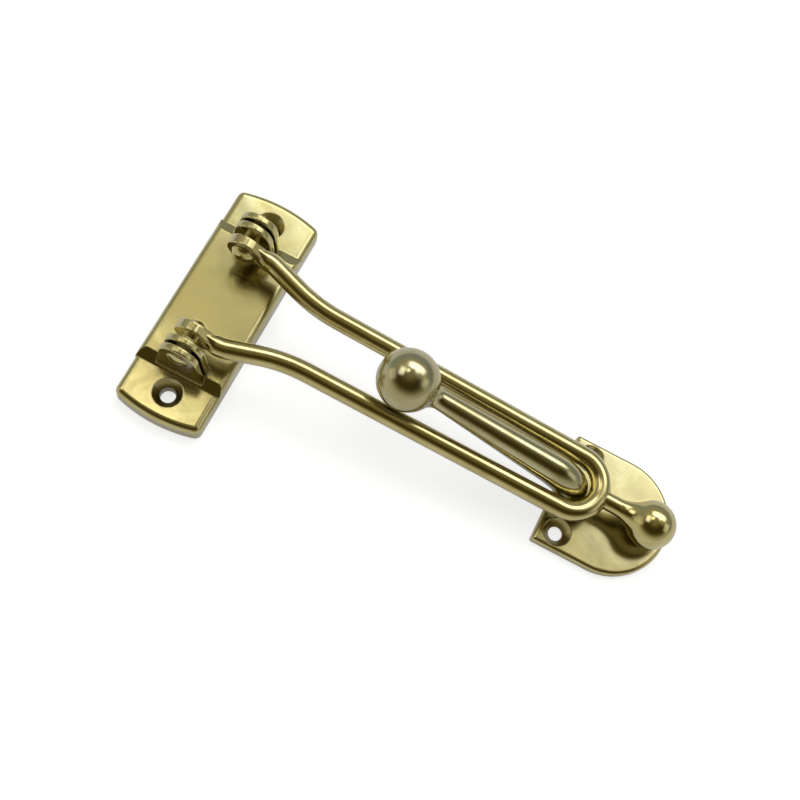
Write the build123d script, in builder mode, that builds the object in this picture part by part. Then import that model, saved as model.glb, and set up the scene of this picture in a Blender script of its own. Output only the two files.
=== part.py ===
from build123d import *
import math
import os

# Swing bar door guard. Millimetres.
# The origin is the centre of the hinge base's back face. X runs along the bar towards its knob,
# Y runs along the hinge pins and Z points away from the door.

# Hinge base: a cast plate with a pad for a screw at each end and a raised middle that carries the ears.
base_length = 66.7
base_width = 23.4
base_end_bow = 1.8
base_corner_radius = 2.0
pad_height = 5.0
pad_edge_round = 1.8
deck_rise = 1.4
deck_end_margin = 0.7
deck_ramp = 3.0
deck_edge_round = 1.8
base_screw_spacing = 52.0
base_screw_hole = 4.0
base_screw_head = 7.6
countersink_angle = 82

# Ears: two at each end of the raised middle, with a narrow slit between them.
ear_outer_spacing = 41.4
ear_radius = 5.0
ear_thickness = 1.9
ear_slit = 0.8
ear_foot_spread = 1.5
ear_edge_round = 0.45

# Hinge pins, riveted through the ears and the bar's eyes.
pin_height = 15.4
pin_diameter = 4.0
pin_ear_clearance = 0.04
pin_head_diameter = 6.0
pin_head_height = 1.9
pin_rivet_diameter = 5.6
pin_rivet_height = 0.8

# Swing bar: one bent wire, with its two ends forged flat into eyes.
wire_diameter = 5.0
eye_diameter = 9.2
eye_thickness = 2.8
eye_spacing = 25.6
eye_pin_clearance = 0.08
eye_side_clearance = 0.1
eye_edge_round = 0.4
forged_height = 7.0
forged_reach = 3.6
forged_tip_diameter = 5.8
wire_start = 6.2
first_bend = 7.6
second_bend = 22.1
waist_half_width = 8.0
first_bend_radius = 8.0
second_bend_radius = 40.0
loop_radius = 7.3
loop_centre = 97.9

# Knob: a turned ball with a flared neck, its tenon riveted through the end of the loop.
knob_diameter = 12.3
knob_distance = 119.9
knob_height = 9.5
neck_diameter = 4.6
neck_flare_radius = 8.0
saddle_clearance = 0.05
tenon_diameter = 2.4
tenon_clearance = 0.05
tenon_recess = 0.4

# Keeper plate: straight at the end where its two screws are, round at the other end.
keeper_end_margin = 4.2
keeper_width = 30.5
keeper_straight = 15.7
keeper_thickness = 2.6
keeper_edge_round = 1.0
keeper_corner_radius = 0.6
keeper_screw_inset = 5.2
keeper_screw_spacing = 21.4
keeper_screw_hole = 3.6
keeper_screw_head = 7.2

# Arm: rises from the plate through the loop, bends back over the bar and tapers to its ball.
ball_diameter = 15.6
ball_distance = 50.8
ball_height = 20.6
ball_neck_round = 3.0
arm_neck_diameter = 5.2
arm_root_diameter = 6.8
arm_neck_length = 10.0
arm_shoulder_width = 8.2
arm_shoulder_depth = 9.2
arm_shank_width = 7.8
arm_shank_depth = 9.6
arm_root_offset = 1.8
arm_bend_radius = 10.0
arm_tenon_diameter = 5.0
arm_tenon_clearance = 0.05
arm_rivet_diameter = 6.8
arm_rivet_depth = 0.8

deck_height = pad_height + deck_rise
pin_radius = pin_diameter / 2
wire_radius = wire_diameter / 2
eye_centre = eye_spacing / 2
knob_radius = knob_diameter / 2
neck_radius = neck_diameter / 2
ball_radius = ball_diameter / 2

# The arm stands just inside the end of the loop, and the keeper plate is placed by it.
arm_root = loop_centre + arm_root_offset
keeper_left = arm_root - keeper_end_margin

# The bar lies in a plane that tips down from the pins to the knob.
bar_tilt = math.asin((pin_height - knob_height) / knob_distance)
bar_direction = Vector(math.cos(bar_tilt), 0, -math.sin(bar_tilt))
bar_normal = Vector(math.sin(bar_tilt), 0, math.cos(bar_tilt))
pin_axis_point = Vector(0, 0, pin_height)
bar_plane = Plane(origin=pin_axis_point, x_dir=bar_direction, z_dir=bar_normal)
bar_side_plane = Plane(origin=pin_axis_point, x_dir=bar_direction, z_dir=(0, -1, 0))
loop_plane = Plane(origin=pin_axis_point + bar_direction * loop_centre, x_dir=bar_direction, z_dir=bar_normal)

# Faces across each hinge, measured from the middle of the base outwards.
eye_inner_face = eye_centre - eye_thickness / 2
pin_head_face = eye_inner_face - eye_side_clearance
hinge_outer_face = ear_outer_spacing / 2
outer_ear_face = hinge_outer_face - ear_thickness
inner_ear_face = outer_ear_face - ear_slit - ear_thickness
deck_half_length = hinge_outer_face + deck_end_margin
ear_planes = []
for face in (inner_ear_face, outer_ear_face):
    ear_planes.append(Plane.XZ.offset(face))
    ear_planes.append(Plane.XZ.offset(-face - ear_thickness))

# Hinge base.
with BuildPart() as hinge_base:
    with BuildSketch() as base_outline:
        with BuildLine():
            side_end = base_length / 2 - base_end_bow
            right_side = Line((base_width / 2, -side_end), (base_width / 2, side_end))
            upper_end = ThreePointArc(right_side @ 1, (0, base_length / 2), (-base_width / 2, side_end))
            left_side = Line(upper_end @ 1, (-base_width / 2, -side_end))
            ThreePointArc(left_side @ 1, (0, -base_length / 2), right_side @ 0)
        make_face()
        fillet(base_outline.vertices(), radius=base_corner_radius)
    extrude(amount=pad_height)
    fillet(hinge_base.faces().sort_by(Axis.Z)[-1].edges(), radius=pad_edge_round)

    with BuildSketch(Plane.XZ) as deck_section:
        with Locations((0, deck_height / 2)):
            Rectangle(base_width, deck_height)
        fillet(deck_section.vertices().group_by(Axis.Z)[-1], radius=deck_edge_round)
    extrude(amount=deck_half_length, both=True)
    with BuildSketch(Plane.YZ):
        with BuildLine():
            Polyline(
                (deck_half_length - deck_ramp, deck_height),
                (deck_half_length, pad_height),
                (deck_half_length, deck_height),
                close=True,
            )
        make_face()
        mirror(about=Plane.YZ)
    extrude(amount=base_width, both=True, mode=Mode.SUBTRACT)

    with BuildSketch(*ear_planes):
        with Locations((0, pin_height)):
            Circle(ear_radius)
        with Locations((0, pad_height / 2)):
            Rectangle(2 * (ear_radius + ear_foot_spread), pad_height)
        make_hull()
    extrude(amount=ear_thickness)
    ear_tops = [
        edge for edge in hinge_base.edges().filter_by(GeomType.CIRCLE)
        if abs(edge.radius - ear_radius) < 0.01
    ]
    fillet(ear_tops, radius=ear_edge_round)

    with BuildSketch(Plane.XZ):
        with Locations((0, pin_height)):
            Circle(pin_radius + pin_ear_clearance)
    extrude(amount=base_length, both=True, mode=Mode.SUBTRACT)

    with Locations((0, -base_screw_spacing / 2, pad_height), (0, base_screw_spacing / 2, pad_height)):
        CounterSinkHole(
            radius=base_screw_hole / 2,
            counter_sink_radius=base_screw_head / 2,
            counter_sink_angle=countersink_angle,
        )

# Hinge pins: a domed head inside the bar's eye, and the end peened over the outer ear.
with BuildPart() as hinge_pin_upper:
    with BuildSketch(Plane.YZ):
        with BuildLine():
            head_tip = (pin_head_face - pin_head_height, pin_height)
            head_rim = (pin_head_face, pin_height + pin_head_diameter / 2)
            rivet_rim = (hinge_outer_face, pin_height + pin_rivet_diameter / 2)
            rivet_tip = (hinge_outer_face + pin_rivet_height, pin_height)
            head_dome = TangentArc(head_tip, head_rim, tangent=(0, 1))
            shank = Polyline(
                head_dome @ 1,
                (pin_head_face, pin_height + pin_radius),
                (hinge_outer_face, pin_height + pin_radius),
                rivet_rim,
            )
            TangentArc(rivet_tip, shank @ 1, tangent=(0, 1))
            Line(rivet_tip, head_tip)
        make_face()
    revolve(axis=Axis(pin_axis_point, (0, 1, 0)))

with BuildPart() as hinge_pin_lower:
    mirror(hinge_pin_upper.part, about=Plane.XZ)

# Swing bar. Each leg runs to the loop along the tangent from its second bend.
leg_drop = math.atan2(waist_half_width, loop_centre - second_bend)
leg_reach = math.hypot(waist_half_width, loop_centre - second_bend)
leg_angle = leg_drop - math.asin(loop_radius / leg_reach)
loop_start = (loop_centre + loop_radius * math.sin(leg_angle), loop_radius * math.cos(leg_angle))

with BuildPart() as swing_bar:
    eye_planes = [
        bar_side_plane.offset(eye_inner_face),
        bar_side_plane.offset(-eye_inner_face - eye_thickness),
    ]
    with BuildSketch(*eye_planes):
        Circle(eye_diameter / 2)
        with Locations((forged_reach, 0)):
            Circle(forged_tip_diameter / 2)
        make_hull()
    extrude(amount=eye_thickness)
    fillet(swing_bar.edges(), radius=eye_edge_round)

    forged_start = pin_head_diameter / 2 + eye_side_clearance
    for leg_side in (-eye_centre, eye_centre):
        flat_centre = pin_axis_point + bar_direction * forged_start + Vector(0, leg_side, 0)
        round_centre = pin_axis_point + bar_direction * wire_start + Vector(0, leg_side, 0)
        with BuildSketch(Plane(origin=flat_centre, x_dir=bar_normal, z_dir=bar_direction)):
            Ellipse(forged_height / 2, eye_thickness / 2)
        with BuildSketch(Plane(origin=round_centre, x_dir=bar_normal, z_dir=bar_direction)):
            Circle(wire_radius)
        loft()

    with BuildLine(bar_plane) as bar_path:
        near_leg = FilletPolyline(
            (wire_start, eye_centre),
            (first_bend, eye_centre),
            (second_bend, waist_half_width),
            loop_start,
            radius=(first_bend_radius, second_bend_radius),
        )
        FilletPolyline(
            (wire_start, -eye_centre),
            (first_bend, -eye_centre),
            (second_bend, -waist_half_width),
            (loop_start[0], -loop_start[1]),
            radius=(first_bend_radius, second_bend_radius),
        )
        ThreePointArc(loop_start, (loop_centre + loop_radius, 0), (loop_start[0], -loop_start[1]))
    with BuildSketch(Plane(origin=near_leg @ 0, z_dir=bar_direction)):
        Circle(wire_radius)
    sweep(path=bar_path.line)

    with BuildSketch(bar_side_plane):
        Circle(pin_radius + eye_pin_clearance)
    extrude(amount=eye_spacing, both=True, mode=Mode.SUBTRACT)

    with BuildSketch(Plane(origin=pin_axis_point + bar_direction * loop_centre, z_dir=bar_direction)):
        Circle(tenon_diameter / 2)
    extrude(amount=loop_radius + wire_diameter, mode=Mode.SUBTRACT)

# Knob. The neck flares into the ball along an arc that is tangent to both.
flare_height = neck_radius + neck_flare_radius
flare_run = math.sqrt((knob_radius + neck_flare_radius) ** 2 - flare_height**2)
flare_angle = math.degrees(math.atan2(flare_height, flare_run))
loop_apex = loop_centre + loop_radius

with BuildPart() as bar_knob:
    with BuildSketch(bar_side_plane):
        with BuildLine():
            neck = Polyline(
                (loop_apex, 0),
                (loop_apex, neck_radius),
                (knob_distance - flare_run, neck_radius),
            )
            CenterArc((knob_distance - flare_run, flare_height), neck_flare_radius, 270, 90 - flare_angle)
            CenterArc((knob_distance, 0), knob_radius, 180 - flare_angle, flare_angle - 180)
            Line((knob_distance + knob_radius, 0), neck @ 0)
        make_face()
    revolve(axis=Axis(pin_axis_point, bar_direction))
    with Locations(loop_plane.location):
        Torus(loop_radius, wire_radius + saddle_clearance, mode=Mode.SUBTRACT)
    tenon_start = loop_apex - wire_radius + tenon_recess
    with BuildSketch(Plane(origin=pin_axis_point + bar_direction * tenon_start, z_dir=bar_direction)):
        Circle(tenon_diameter / 2 - tenon_clearance)
    extrude(amount=wire_diameter + neck_radius - tenon_recess)

# Keeper plate.
keeper_round_centre = keeper_left + keeper_straight
with BuildPart() as keeper_plate:
    with BuildSketch() as keeper_outline:
        with BuildLine():
            half_width = keeper_width / 2
            straight_end = Polyline(
                (keeper_round_centre, half_width),
                (keeper_left, half_width),
                (keeper_left, -half_width),
                (keeper_round_centre, -half_width),
            )
            ThreePointArc(straight_end @ 1, (keeper_round_centre + half_width, 0), straight_end @ 0)
        make_face()
        fillet(keeper_outline.vertices().group_by(Axis.X)[0], radius=keeper_corner_radius)
    extrude(amount=keeper_thickness)
    fillet(keeper_plate.faces().sort_by(Axis.Z)[-1].edges(), radius=keeper_edge_round)
    screw_x = keeper_left + keeper_screw_inset
    with Locations(
        (screw_x, -keeper_screw_spacing / 2, keeper_thickness),
        (screw_x, keeper_screw_spacing / 2, keeper_thickness),
    ):
        CounterSinkHole(
            radius=keeper_screw_hole / 2,
            counter_sink_radius=keeper_screw_head / 2,
            counter_sink_angle=countersink_angle,
        )
    with BuildSketch():
        with Locations((arm_root, 0)):
            Circle(arm_tenon_diameter / 2)
    extrude(amount=keeper_thickness, mode=Mode.SUBTRACT)
    with BuildSketch(Plane.XY):
        with Locations((arm_root, 0)):
            Circle(arm_rivet_diameter / 2)
    with BuildSketch(Plane.XY.offset(arm_rivet_depth)):
        with Locations((arm_root, 0)):
            Circle(arm_tenon_diameter / 2)
    loft(mode=Mode.SUBTRACT)

# Arm. Its straight part lies on the tangent from the ball's centre to the bend,
# and it deepens towards the bend.
bend_centre_x = arm_root - arm_bend_radius
ball_run = bend_centre_x - ball_distance
ball_rise = ball_height - keeper_thickness
tangent_turn = math.acos(arm_bend_radius / math.hypot(ball_run, ball_rise))
bend_turn = math.pi - math.atan2(ball_rise, ball_run) - tangent_turn
arm_direction = Vector(math.sin(bend_turn), 0, -math.cos(bend_turn))
arm_depth_direction = Vector(math.cos(bend_turn), 0, math.sin(bend_turn))
ball_point = Vector(ball_distance, 0, ball_height)
neck_plane = Plane(origin=ball_point, x_dir=arm_depth_direction, z_dir=arm_direction)

with BuildPart() as keeper_arm:
    with BuildSketch(neck_plane):
        Circle(arm_neck_diameter / 2)
    extrude(amount=arm_neck_length)
    with Locations(ball_point):
        Sphere(ball_radius)
    neck_edges = keeper_arm.edges().filter_by(GeomType.CIRCLE).sort_by(Axis(ball_point, arm_direction))
    fillet([edge for edge in neck_edges if edge.radius < ball_radius / 2][0], radius=ball_neck_round)

    with BuildLine(Plane.XZ) as bend_path:
        bend = CenterArc((bend_centre_x, keeper_thickness), arm_bend_radius, 0, math.degrees(bend_turn))
    with BuildSketch(neck_plane.offset(arm_neck_length)):
        Circle(arm_neck_diameter / 2)
    with BuildSketch(Plane(origin=bend @ 1, x_dir=arm_depth_direction, z_dir=arm_direction)):
        Ellipse(arm_shank_depth / 2, arm_shank_width / 2)
    loft()

    bend_centre = Vector(bend_centre_x, 0, keeper_thickness)
    bend_sections = (
        (0, arm_root_diameter, arm_root_diameter),
        (0.5, arm_shoulder_depth, arm_shoulder_width),
        (1, arm_shank_depth, arm_shank_width),
    )
    for position, depth, width in bend_sections:
        centre = bend @ position
        with BuildSketch(Plane(origin=centre, x_dir=centre - bend_centre, z_dir=bend % position)):
            Ellipse(depth / 2, width / 2)
    sweep(path=bend_path.line, multisection=True)

    with BuildSketch():
        with Locations((arm_root, 0)):
            Circle(arm_tenon_diameter / 2 - arm_tenon_clearance)
    extrude(amount=keeper_thickness)
    with BuildSketch(Plane.XY):
        with Locations((arm_root, 0)):
            Circle(arm_rivet_diameter / 2 - arm_tenon_clearance)
    with BuildSketch(Plane.XY.offset(arm_rivet_depth)):
        with Locations((arm_root, 0)):
            Circle(arm_tenon_diameter / 2 - arm_tenon_clearance)
    loft()

hinge_base.part.label = "hinge_base"
hinge_pin_upper.part.label = "hinge_pin_upper"
hinge_pin_lower.part.label = "hinge_pin_lower"
swing_bar.part.label = "swing_bar"
bar_knob.part.label = "bar_knob"
keeper_plate.part.label = "keeper_plate"
keeper_arm.part.label = "keeper_arm"

os.makedirs("parts", exist_ok=True)
export_step(hinge_base.part, "parts/hinge_base.step")
export_step(hinge_pin_upper.part, "parts/hinge_pin_upper.step")
export_step(hinge_pin_lower.part, "parts/hinge_pin_lower.step")
export_step(swing_bar.part, "parts/swing_bar.step")
export_step(bar_knob.part, "parts/bar_knob.step")
export_step(keeper_plate.part, "parts/keeper_plate.step")
export_step(keeper_arm.part, "parts/keeper_arm.step")
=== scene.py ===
import bpy
import math
from mathutils import Matrix, Vector

# Looks of the swing bar door guard: polished brass on white paper, seen from above and a little from -Y.

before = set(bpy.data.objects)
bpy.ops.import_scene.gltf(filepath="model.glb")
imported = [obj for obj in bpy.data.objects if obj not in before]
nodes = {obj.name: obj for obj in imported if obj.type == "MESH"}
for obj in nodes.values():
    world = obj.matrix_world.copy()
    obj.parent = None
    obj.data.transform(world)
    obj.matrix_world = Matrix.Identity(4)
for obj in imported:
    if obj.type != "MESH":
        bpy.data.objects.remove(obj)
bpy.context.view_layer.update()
scene = bpy.context.scene

# Camera, from the view fitted to the photograph.
AZIMUTH, ELEVATION, ROLL = math.radians(3.78), math.radians(70.26), math.radians(24.0)
TARGET = Vector((0.05079, 0.00193, 0.0))
DISTANCE = 0.29628
FOCAL_PIXELS = 1162.03
PICTURE_PIXELS = 800
SENSOR_WIDTH = 36.0

back = Vector((
    math.sin(AZIMUTH) * math.cos(ELEVATION),
    -math.cos(AZIMUTH) * math.cos(ELEVATION),
    math.sin(ELEVATION),
))
level_right = Vector((math.cos(AZIMUTH), math.sin(AZIMUTH), 0.0))
level_up = back.cross(level_right)
right = level_right * math.cos(ROLL) + level_up * math.sin(ROLL)
up = level_up * math.cos(ROLL) - level_right * math.sin(ROLL)
camera_data = bpy.data.cameras.new("camera")
camera_data.sensor_width = SENSOR_WIDTH
camera_data.lens = FOCAL_PIXELS / PICTURE_PIXELS * SENSOR_WIDTH
camera_data.clip_start = 0.005
camera_data.clip_end = 20.0
camera = bpy.data.objects.new("camera", camera_data)
turn = Matrix((right, up, back)).transposed().to_4x4()
camera.matrix_world = Matrix.Translation(TARGET + back * DISTANCE) @ turn
scene.collection.objects.link(camera)
scene.camera = camera
scene.view_settings.view_transform = "Standard"


def node(tree, kind, inputs=None, **settings):
    """Add a node. Each input is given a value, or an output of another node to be linked to."""
    made = tree.nodes.new(kind)
    for name, value in settings.items():
        setattr(made, name, value)
    for name, value in (inputs or {}).items():
        if isinstance(value, bpy.types.NodeSocket):
            tree.links.new(value, made.inputs[name])
        else:
            made.inputs[name].default_value = value
    return made


def maths(tree, operation, *values):
    return node(tree, "ShaderNodeMath", dict(enumerate(values)), operation=operation).outputs["Value"]


def map_range(tree, value, from_low, from_high, to_low=0.0, to_high=1.0, **settings):
    limits = {"From Min": from_low, "From Max": from_high, "To Min": to_low, "To Max": to_high}
    return node(tree, "ShaderNodeMapRange", {"Value": value, **limits}, **settings).outputs["Result"]


def mix(tree, factor, first, second):
    inputs = {"Factor": factor, "A": first, "B": second}
    return node(tree, "ShaderNodeMix", inputs, data_type="RGBA").outputs["Result"]


def ramp(tree, factor, stops):
    """Add a colour ramp, whose stops are pairs of a position and a colour."""
    made = node(tree, "ShaderNodeValToRGB", {"Fac": factor})
    elements = made.color_ramp.elements
    while len(elements) > 1:
        elements.remove(elements[-1])
    elements[0].position, elements[0].color = stops[0][0], (*stops[0][1], 1.0)
    for position, colour in stops[1:]:
        elements.new(position).color = (*colour, 1.0)
    return made.outputs["Color"]


def noise(tree, vector, **inputs):
    named = {name.capitalize(): value for name, value in inputs.items()}
    return node(tree, "ShaderNodeTexNoise", {"Vector": vector, **named}).outputs["Fac"]


def bump(tree, height, normal, strength, distance):
    inputs = {"Height": height, "Normal": normal, "Strength": strength, "Distance": distance}
    return node(tree, "ShaderNodeBump", inputs).outputs["Normal"]


def grey(value):
    return (value, value, value)


WORN_EDGE = (0.80, 0.70, 0.36, 1.0)
EDGE_RADIUS = 0.0005
FILM_DULLNESS = 0.22
WAVE_HEIGHT = 0.0004
MARK_DEPTH = 0.00002
PIT_STRENGTH = 0.25


def brass(name, pale, deep, tarnish_and_shade, film_and_shade_reach, roughness, wave, scratch, grain):
    """Polished brass: cloudy colour, darker film and painted shade in corners, painted shade below, worn
    edges, waves and scratches.

    Roughness is its least and its most, and grain is how fine the scratches are along X, Y and Z.
    """
    material = bpy.data.materials.new(name)
    material.use_nodes = True
    tree = material.node_tree
    shader = tree.nodes["Principled BSDF"]
    shader.inputs["Metallic"].default_value = 1.0
    shader.inputs["Specular IOR Level"].default_value = 0.5
    shader.inputs["Coat Weight"].default_value = 1.0
    shader.inputs["Coat Roughness"].default_value = 0.10
    coords = node(tree, "ShaderNodeTexCoord")
    place = coords.outputs["Object"]

    clouds = noise(tree, place, scale=95.0, detail=5.0, roughness=0.55, distortion=0.6)
    tint = ramp(tree, clouds, [(0.34, deep), (0.66, pale)])

    # Film that polishing leaves in the inner corners, with painted shade there too, and painted shade on
    # the undersides.
    corner = node(tree, "ShaderNodeAmbientOcclusion", {"Distance": film_and_shade_reach}, samples=8, only_local=True)
    corner_mask = ramp(tree, corner.outputs["AO"], [(0.35, grey(1.0)), (0.88, grey(0.0))])
    speck = noise(tree, place, scale=900.0, detail=3.0)
    speck_level = map_range(tree, speck, 0.3, 0.7, 0.55, 1.0)
    corner_film_and_shade = maths(tree, "MULTIPLY", corner_mask, speck_level)
    facing = node(tree, "ShaderNodeSeparateXYZ", {"Vector": coords.outputs["Normal"]})
    # Painted shade: faces turned downwards take the dark tarnish colour.
    underside_painted_shade = map_range(tree, facing.outputs["Z"], 0.20, -0.50, 0.0, 0.75)
    film_and_shade = maths(tree, "MAXIMUM", corner_film_and_shade, underside_painted_shade)
    film_and_shade_coloured = mix(tree, film_and_shade, tint, (*tarnish_and_shade, 1.0))

    # Edges, found where a rounded normal leaves the true one, are worn paler.
    rounded = node(tree, "ShaderNodeBevel", {"Radius": EDGE_RADIUS}, samples=6).outputs["Normal"]
    true_normal = node(tree, "ShaderNodeNewGeometry").outputs["Normal"]
    agree = node(tree, "ShaderNodeVectorMath", {0: rounded, 1: true_normal}, operation="DOT_PRODUCT")
    edge_mask = ramp(tree, agree.outputs["Value"], [(0.90, grey(0.35)), (0.985, grey(0.0))])
    tree.links.new(mix(tree, edge_mask, film_and_shade_coloured, WORN_EDGE), shader.inputs["Base Color"])

    # Gloss varies with the clouds, and the film and the painted shade are dull.
    least, most = roughness
    clouded = map_range(tree, clouds, 0.3, 0.7, most, least)
    dulled = maths(tree, "MULTIPLY_ADD", film_and_shade, FILM_DULLNESS, clouded)
    tree.links.new(dulled, shader.inputs["Roughness"])

    # Hand-polished waves, then scratches drawn out along the grain, then fine pits.
    waves = noise(tree, place, scale=85.0, detail=1.0)
    stretched = node(tree, "ShaderNodeMapping", {"Vector": place, "Scale": grain}).outputs["Vector"]
    lines = noise(tree, stretched, scale=1.0, detail=4.0)
    waved = bump(tree, waves, rounded, wave, WAVE_HEIGHT)
    scratched = bump(tree, lines, waved, scratch, MARK_DEPTH)
    pitted = bump(tree, speck, scratched, PIT_STRENGTH, MARK_DEPTH)
    tree.links.new(pitted, shader.inputs["Normal"])
    return material


def dress(names, material):
    for name in names:
        piece = nodes[name]
        piece.data.materials.clear()
        piece.data.materials.append(material)


# The cast pieces, the arm as a darker, bluer copy of the cast brass that paints shade and a blue-grey sheen
# on it, the bent wire and the turned pieces.
# Each tarnish colour also paints the shade in the corners and on the undersides.
cast = brass(
    "cast_brass_polished", pale=(0.69, 0.61, 0.27), deep=(0.56, 0.47, 0.17), tarnish_and_shade=(0.06, 0.045, 0.01),
    film_and_shade_reach=0.007, roughness=(0.14, 0.24), wave=0.34, scratch=0.15, grain=(300.0, 5200.0, 5200.0),
)
# Painted shade and painted blue-grey sheen: the arm's colours are the cast brass made darker and bluer.
arm_shaded_sheen_copy = brass(
    "arm_brass_painted_shade_and_sheen", pale=(0.60, 0.55, 0.30), deep=(0.48, 0.42, 0.19), tarnish_and_shade=(0.04, 0.03, 0.01),
    film_and_shade_reach=0.007, roughness=(0.14, 0.24), wave=0.34, scratch=0.15, grain=(300.0, 5200.0, 5200.0),
)
drawn = brass(
    "drawn_brass_polished", pale=(0.70, 0.61, 0.27), deep=(0.57, 0.47, 0.18), tarnish_and_shade=(0.08, 0.06, 0.015),
    film_and_shade_reach=0.004, roughness=(0.12, 0.20), wave=0.14, scratch=0.30, grain=(260.0, 6000.0, 6000.0),
)
turned = brass(
    "turned_brass_polished", pale=(0.70, 0.61, 0.26), deep=(0.57, 0.47, 0.17), tarnish_and_shade=(0.08, 0.06, 0.015),
    film_and_shade_reach=0.004, roughness=(0.09, 0.16), wave=0.10, scratch=0.35, grain=(6000.0, 400.0, 400.0),
)
dress(("hinge_base", "keeper_plate"), cast)
dress(("keeper_arm",), arm_shaded_sheen_copy)
dress(("swing_bar",), drawn)
dress(("hinge_pin_upper", "hinge_pin_lower", "bar_knob"), turned)

# Floor: pale paper just below the guard. It keeps the shadow. What the camera sees of it is lifted
# to white, and what the metal mirrors of it by less.
FLOOR_HALF = 4
FLOOR_DROP = 0.0002
CAMERA_LIFT = 0.76
MIRROR_LIFT = 0.26

floor_mesh = bpy.data.meshes.new("floor")
floor_corners = [(x * FLOOR_HALF, y * FLOOR_HALF, 0) for x, y in ((-1, -1), (1, -1), (1, 1), (-1, 1))]
floor_mesh.from_pydata(floor_corners, [], [(0, 1, 2, 3)])
floor = bpy.data.objects.new("floor", floor_mesh)
floor.location = (0.0, 0.0, -FLOOR_DROP)
scene.collection.objects.link(floor)
paper = bpy.data.materials.new("floor_paper")
paper.use_nodes = True
tree = paper.node_tree
paper_shader = tree.nodes["Principled BSDF"]
paper_shader.inputs["Roughness"].default_value = 0.9
paper_shader.inputs["Specular IOR Level"].default_value = 0.1
paper_grain = noise(tree, node(tree, "ShaderNodeTexCoord").outputs["Object"], scale=600.0, detail=4.0)
paper_tint = ramp(tree, paper_grain, [(0.3, (0.56, 0.56, 0.56)), (0.7, (0.60, 0.60, 0.595))])
tree.links.new(paper_tint, paper_shader.inputs["Base Color"])
paths = node(tree, "ShaderNodeLightPath")
seen = maths(tree, "MAXIMUM", paths.outputs["Is Camera Ray"], paths.outputs["Is Transmission Ray"])
lift = maths(tree, "MULTIPLY", seen, CAMERA_LIFT)
mirrored = maths(tree, "MULTIPLY_ADD", paths.outputs["Is Glossy Ray"], MIRROR_LIFT, lift)
glow = node(tree, "ShaderNodeEmission", {"Strength": mirrored})
lifted = node(tree, "ShaderNodeAddShader", {0: paper_shader.outputs["BSDF"], 1: glow.outputs["Emission"]})

# From below the paper is clear, so that the guard's back can be looked at.
underside = node(tree, "ShaderNodeNewGeometry").outputs["Backfacing"]
clear = node(tree, "ShaderNodeBsdfTransparent")
shaders = {0: underside, 1: lifted.outputs["Shader"], 2: clear.outputs["BSDF"]}
one_sided = node(tree, "ShaderNodeMixShader", shaders)
tree.links.new(one_sided.outputs["Shader"], tree.nodes["Material Output"].inputs["Surface"])
floor_mesh.materials.append(paper)

# Studio surround: dark on the camera's side from halfway up, paler across from it and near the floor.
world = bpy.data.worlds.new("studio")
world.use_nodes = True
scene.world = world
tree = world.node_tree
sky = node(tree, "ShaderNodeTexCoord").outputs["Generated"]
split = node(tree, "ShaderNodeSeparateXYZ", {"Vector": sky})
near_side = ramp(tree, split.outputs["Z"], [
    (0.0, (0.60, 0.60, 0.58)),
    (0.20, (0.50, 0.49, 0.44)),
    (0.42, (0.20, 0.17, 0.09)),
    (0.60, (0.055, 0.042, 0.010)),
    (0.82, (0.055, 0.042, 0.010)),
    (0.93, (0.11, 0.09, 0.035)),
    (1.0, (0.24, 0.21, 0.12)),
])
far_side = ramp(tree, split.outputs["Z"], [
    (0.0, (0.34, 0.40, 0.44)),
    (0.22, (0.26, 0.29, 0.31)),
    (0.60, (0.38, 0.36, 0.29)),
    (0.90, (0.41, 0.38, 0.29)),
    (0.95, (0.37, 0.34, 0.25)),
    (1.0, (0.22, 0.19, 0.11)),
])
side = map_range(tree, split.outputs["Y"], -0.10, 0.25, interpolation_type="SMOOTHSTEP")
room = mix(tree, side, near_side, far_side)

# The hinge's side of the room is the paler one.
hinge_side = map_range(tree, split.outputs["X"], -0.5, 0.5, 1.0, 0.85)
graded = node(tree, "ShaderNodeVectorMath", {0: room, "Scale": hinge_side}, operation="SCALE")


def direction_of(azimuth, elevation):
    """Azimuth 0 is along -Y, as for the camera, and 180 is straight across from it."""
    turned_by, raised_by = math.radians(azimuth), math.radians(elevation)
    return Vector((
        math.sin(turned_by) * math.cos(raised_by),
        -math.cos(turned_by) * math.cos(raised_by),
        math.sin(raised_by),
    ))


# A panel would show again on the opposite side of the room. This shrinks it there to a speck.
LEAST_DEPTH = 0.02


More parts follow.
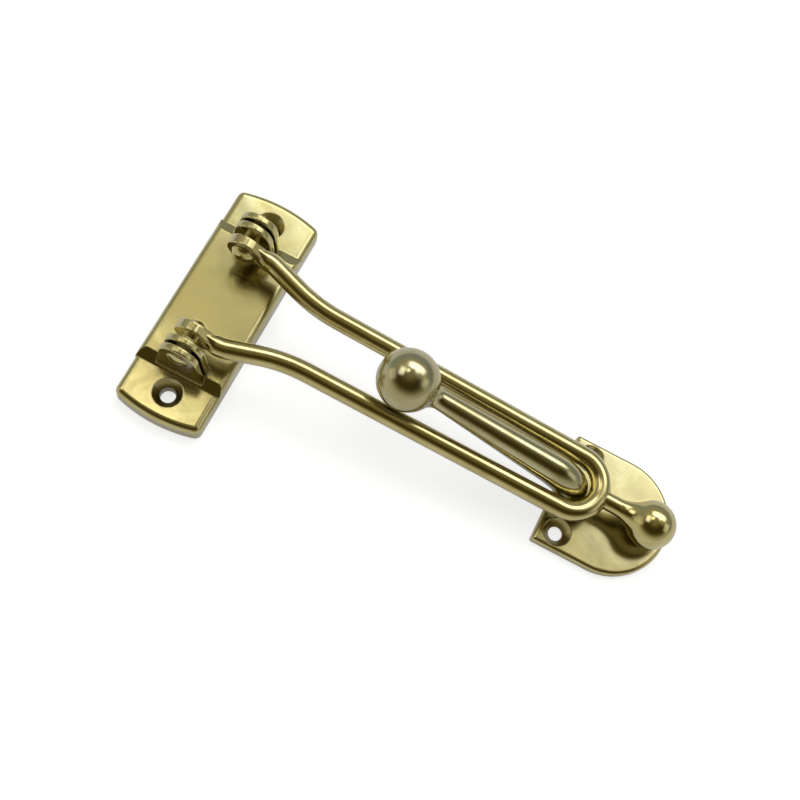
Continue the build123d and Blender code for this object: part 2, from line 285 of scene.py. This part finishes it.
def add_panel(light, azimuth, elevation, roll, half_width, half_height, softness, radiance, colour):
    """Add a soft-edged panel to the surround's light. Its half sizes are in degrees."""
    forward = direction_of(azimuth, elevation)
    level = forward.cross(Vector((0.0, 0.0, 1.0))).normalized()
    upward = level.cross(forward)
    tilt = math.radians(roll)
    across = level * math.cos(tilt) + upward * math.sin(tilt)
    along = upward * math.cos(tilt) - level * math.sin(tilt)
    part_across, part_along, part_forward = (
        node(tree, "ShaderNodeVectorMath", {0: sky, 1: axis}, operation="DOT_PRODUCT").outputs["Value"]
        for axis in (across, along, forward)
    )
    depth = maths(tree, "MAXIMUM", part_forward, LEAST_DEPTH)
    fades = []
    for part, half in ((part_across, half_width), (part_along, half_height)):
        edge = math.tan(math.radians(half))
        offset = maths(tree, "ABSOLUTE", maths(tree, "DIVIDE", part, depth))
        fades.append(map_range(
            tree, offset, edge * (1.0 + softness), edge * (1.0 - softness), interpolation_type="SMOOTHSTEP",
        ))
    strength = maths(tree, "MULTIPLY", *fades)
    bright = [channel * radiance for channel in colour]
    added = node(tree, "ShaderNodeVectorMath", {0: bright, "Scale": strength}, operation="SCALE")
    total = node(tree, "ShaderNodeVectorMath", {0: light, 1: added.outputs["Vector"]}, operation="ADD")
    return total.outputs["Vector"]


# Azimuth, elevation, roll, half width, half height, softness, radiance and colour of each panel.
PANELS = (
    (168, 52, -10, 28, 11, 0.35, 2.1, (0.97, 1.0, 1.08)),    # key, across from the camera
    (266, 57, 0, 13, 9.5, 0.45, 1.5, (0.97, 1.0, 1.05)),     # the balls' second highlight
    (232, 72.5, 0, 4.5, 4, 0.60, 2.6, (1.0, 0.97, 0.86)),    # mirrored by the base's lower pad
    (196, 60.5, 0, 4, 4, 0.60, 1.4, (0.85, 0.98, 1.4)),      # mirrored by the base's upper pad
    (148, 63.5, 0, 7, 5.5, 0.50, 1.25, (0.95, 1.0, 1.25)),   # mirrored by the keeper's upper half
    (95, 30, 0, 14, 12, 0.4, 0.5, (0.93, 0.98, 1.0)),        # low fill at the knob's side
    (285, 26, 0, 16, 12, 0.4, 0.4, (1.0, 0.99, 0.97)),       # low fill at the hinge's side
)
light = graded.outputs["Vector"]
for panel in PANELS:
    light = add_panel(light, *panel)

# What the camera itself sees of the room is white.
seen_directly = node(tree, "ShaderNodeLightPath").outputs["Is Camera Ray"]
background = tree.nodes["Background"]
tree.links.new(mix(tree, seen_directly, light, (1.0, 1.0, 1.0, 1.0)), background.inputs["Color"])
background.inputs["Strength"].default_value = 1.0

# A large lamp above gives the guard its soft shadow on the paper. The metal doesn't mirror it.
LAMP_AIM = Vector((0.055, 0.0, 0.01))
LAMP_AZIMUTH = 175
LAMP_ELEVATION = 58
LAMP_DISTANCE = 0.8

lamp = bpy.data.lights.new("soft_top", "AREA")
lamp.shape = "RECTANGLE"
lamp.size, lamp.size_y = 0.9, 0.5
lamp.energy = 0.5
placed = bpy.data.objects.new("soft_top", lamp)
towards = direction_of(LAMP_AZIMUTH, LAMP_ELEVATION)
placed.location = LAMP_AIM + towards * LAMP_DISTANCE
placed.rotation_euler = towards.to_track_quat("Z", "Y").to_euler()
placed.visible_glossy = False
scene.collection.objects.link(placed)
